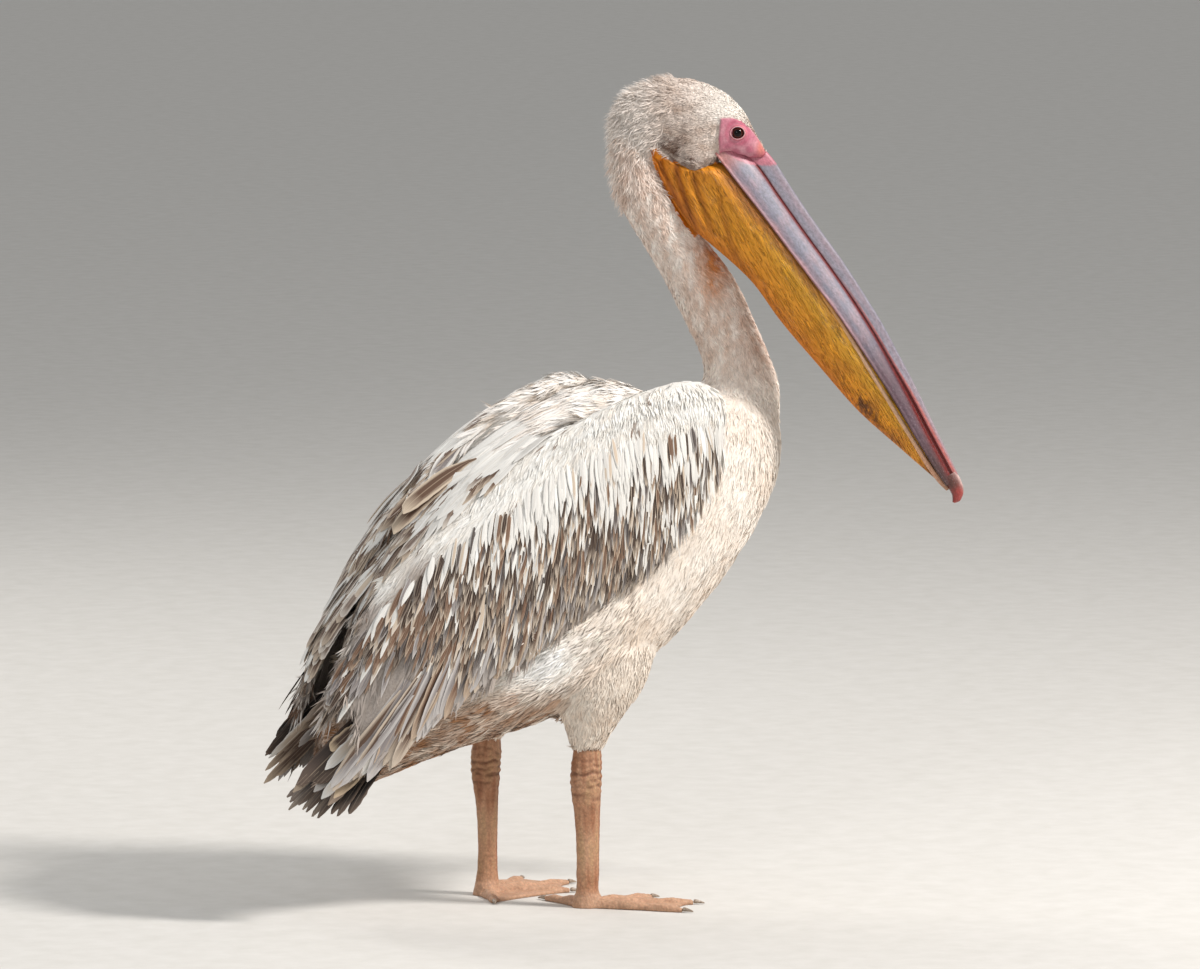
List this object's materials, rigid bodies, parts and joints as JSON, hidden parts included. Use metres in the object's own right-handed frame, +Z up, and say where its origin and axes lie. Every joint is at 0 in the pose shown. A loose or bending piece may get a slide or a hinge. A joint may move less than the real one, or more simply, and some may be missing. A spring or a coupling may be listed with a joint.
{
  "type": "great white pelican",
  "caption": "Life-size still model of a standing white pelican, wings folded, head turned to its right, long bill with a hanging pouch pointing down.",
  "frame": {"origin": "on the ground under the middle of the bounding box", "axes": "+X the way the body faces, +Y the bird's left, +Z up"},
  "size_m": [0.7294, 0.3184, 0.8627],
  "materials": {
    "plumage": "soft white plumage with a warm tint",
    "wing_coverts": "white, brown and grey covert feathers",
    "flight_feathers": "dark brown flight feathers",
    "bill_horn": "blue-grey horn with red-brown grooves",
    "bill_nail": "red horn",
    "pouch_skin": "yellow-orange bare skin with fine wrinkles",
    "leg_skin": "orange-tan scaled skin",
    "claw": "dull grey-brown horn",
    "eye": "wet dark brown"
  },
  "bodies": {
    "root": {"bill_nail": "bill_nail", "claw_left_1": "claw", "claw_left_2": "claw", "claw_left_3": "claw", "claw_left_4": "claw", "claw_right_1": "claw", "claw_right_2": "claw", "claw_right_3": "claw", "claw_right_4": "claw", "eye_left": "eye", "eye_right": "eye", "foot_left": "leg_skin", "foot_right": "leg_skin", "head": "plumage", "lower_bill": "pouch_skin", "neck_lower": "plumage", "neck_upper": "plumage", "pouch": "pouch_skin", "primaries_left": "flight_feathers", "primaries_right": "flight_feathers", "scapulars_left": "wing_coverts", "scapulars_right": "wing_coverts", "shank_left": "leg_skin", "shank_right": "leg_skin", "tail": "flight_feathers", "thigh_left": "plumage", "thigh_right": "plumage", "trunk": "plumage", "upper_bill": "bill_horn", "wing_left": "wing_coverts", "wing_right": "wing_coverts"}
  },
  "joints": []
}
